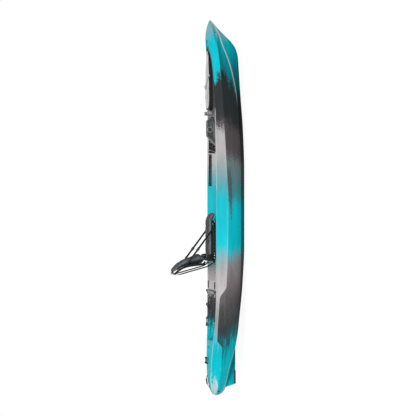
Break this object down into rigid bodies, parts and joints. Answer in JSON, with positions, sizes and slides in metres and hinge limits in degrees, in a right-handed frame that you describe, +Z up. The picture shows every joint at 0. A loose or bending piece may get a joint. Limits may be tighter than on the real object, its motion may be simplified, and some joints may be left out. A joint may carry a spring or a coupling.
{
  "type": "fishing kayak",
  "caption": "Sit-on-top fishing kayak with a framed folding seat, bow hatch, console, foot braces, rod holders, rear tankwell and carry handles.",
  "frame": {"origin": "midway between bow and stern on the middle plane, at the height of the line that the keel rests on", "axes": "+X to the bow, +Y to port, +Z up"},
  "size_m": [3.73, 0.89, 0.7192],
  "materials": {
    "teal_polyethylene": "satin",
    "marbled_grey_polyethylene": "satin",
    "black_nylon": "matt",
    "black_rubber": "matt",
    "anodised_aluminium": "satin",
    "stainless_steel": "polished",
    "grey_seat_fabric": "woven",
    "black_sling_mesh": "woven",
    "black_webbing": "woven"
  },
  "bodies": {
    "hull": {"hull": "teal_polyethylene", "skeg_wear_plate": "black_nylon", "hatch_coaming": "black_rubber", "hatch_hinge_bracket": "black_nylon", "hatch_hinge_pin": "stainless_steel", "bow_handle_bracket": "black_nylon", "stern_handle_bracket": "black_nylon", "console_pod": "marbled_grey_polyethylene", "tankwell_bungee": "black_rubber", "bungee_clip": "black_nylon", "gear_track_port": "anodised_aluminium", "gear_track_starboard": "anodised_aluminium", "foot_rail_port": "anodised_aluminium", "foot_rail_starboard": "anodised_aluminium", "seat_rail_port": "anodised_aluminium", "seat_rail_starboard": "anodised_aluminium", "rod_holder_port": "black_nylon", "rod_holder_starboard": "black_nylon", "bungee_hook_port_1": "black_nylon", "bungee_hook_port_2": "black_nylon", "bungee_hook_port_3": "black_nylon", "bungee_hook_starboard_1": "black_nylon", "bungee_hook_starboard_2": "black_nylon", "bungee_hook_starboard_3": "black_nylon"},
    "hatch_lid": {"hatch_lid": "marbled_grey_polyethylene", "hatch_lift_strap": "black_webbing", "hatch_lift_ring": "stainless_steel"},
    "hatch_latch_port": {"hatch_latch_port": "black_nylon"},
    "hatch_latch_starboard": {"hatch_latch_starboard": "black_nylon"},
    "bow_handle": {"bow_handle_bail": "anodised_aluminium", "bow_handle_grip": "black_rubber"},
    "stern_handle": {"stern_handle_bail": "anodised_aluminium", "stern_handle_grip": "black_rubber"},
    "console_cap": {"console_cap": "black_nylon"},
    "drain_plug": {"drain_plug": "black_nylon"},
    "foot_peg_port": {"foot_peg_port": "black_nylon"},
    "foot_peg_starboard": {"foot_peg_starboard": "black_nylon"},
    "seat": {"seat_stand_front": "anodised_aluminium", "seat_stand_rear": "anodised_aluminium", "seat_frame": "anodised_aluminium", "seat_sling": "black_sling_mesh", "seat_cushion": "grey_seat_fabric", "seat_shoe_front_port": "black_nylon", "seat_shoe_front_starboard": "black_nylon", "seat_shoe_rear_port": "black_nylon", "seat_shoe_rear_starboard": "black_nylon", "hinge_plate_port": "anodised_aluminium", "hinge_plate_starboard": "anodised_aluminium", "hinge_bolt_port": "stainless_steel", "hinge_bolt_starboard": "stainless_steel", "recline_strap_port": "black_webbing", "recline_strap_starboard": "black_webbing", "strap_buckle_port": "black_nylon", "strap_buckle_starboard": "black_nylon", "rear_strap_port": "black_webbing", "rear_strap_starboard": "black_webbing"},
    "seat_back": {"back_frame": "anodised_aluminium", "back_sling": "black_sling_mesh", "back_cushion": "grey_seat_fabric"}
  },
  "joints": [
    {"name": "hatch_lid_hinge", "type": "hinge", "parent": "hull", "child": "hatch_lid", "pos_m": [1.556, 0, 0.35605], "axis": [0, 1, 0], "range_deg": [0, 110]},
    {"name": "hatch_latch_port_turn", "type": "hinge", "parent": "hull", "child": "hatch_latch_port", "pos_m": [0.938, 0.12, 0.34], "axis": [0, 0, 1], "range_deg": [0, 90]},
    {"name": "hatch_latch_starboard_turn", "type": "hinge", "parent": "hull", "child": "hatch_latch_starboard", "pos_m": [0.938, -0.12, 0.34], "axis": [0, 0, -1], "range_deg": [0, 90]},
    {"name": "bow_handle_swing", "type": "hinge", "parent": "hull", "child": "bow_handle", "pos_m": [1.585, 0, 0.33382], "axis": [0, -1, 0], "range_deg": [0, 80]},
    {"name": "stern_handle_swing", "type": "hinge", "parent": "hull", "child": "stern_handle", "pos_m": [-1.544, 0, 0.36548], "axis": [0, -1, 0], "range_deg": [0, 100]},
    {"name": "console_cap_turn", "type": "hinge", "parent": "hull", "child": "console_cap", "pos_m": [0.775, -0.0918, 0.33458], "axis": [0, -0.7869, 0.6171], "range_deg": [0, 90]},
    {"name": "drain_plug_turn", "type": "hinge", "parent": "hull", "child": "drain_plug", "pos_m": [-1.827, -0.06033, 0.245], "axis": [-0.5917, -0.6613, -0.461], "continuous": true},
    {"name": "foot_peg_port_slide", "type": "slide", "parent": "hull", "child": "foot_peg_port", "axis": [0.9954, -0.0958, 0], "range_m": [-0.12, 0.12]},
    {"name": "foot_peg_starboard_slide", "type": "slide", "parent": "hull", "child": "foot_peg_starboard", "axis": [0.9954, 0.0958, 0], "range_m": [-0.12, 0.12]},
    {"name": "seat_slide", "type": "slide", "parent": "hull", "child": "seat", "axis": [1, 0, 0], "range_m": [-0.02, 0.1]},
    {"name": "seat_back_fold", "type": "hinge", "parent": "seat", "child": "seat_back", "pos_m": [-0.53, 0, 0.392], "axis": [0, 1, 0], "range_deg": [0, 55], "deforming": ["recline_strap_port", "recline_strap_starboard", "rear_strap_port", "rear_strap_starboard"]}
  ]
}
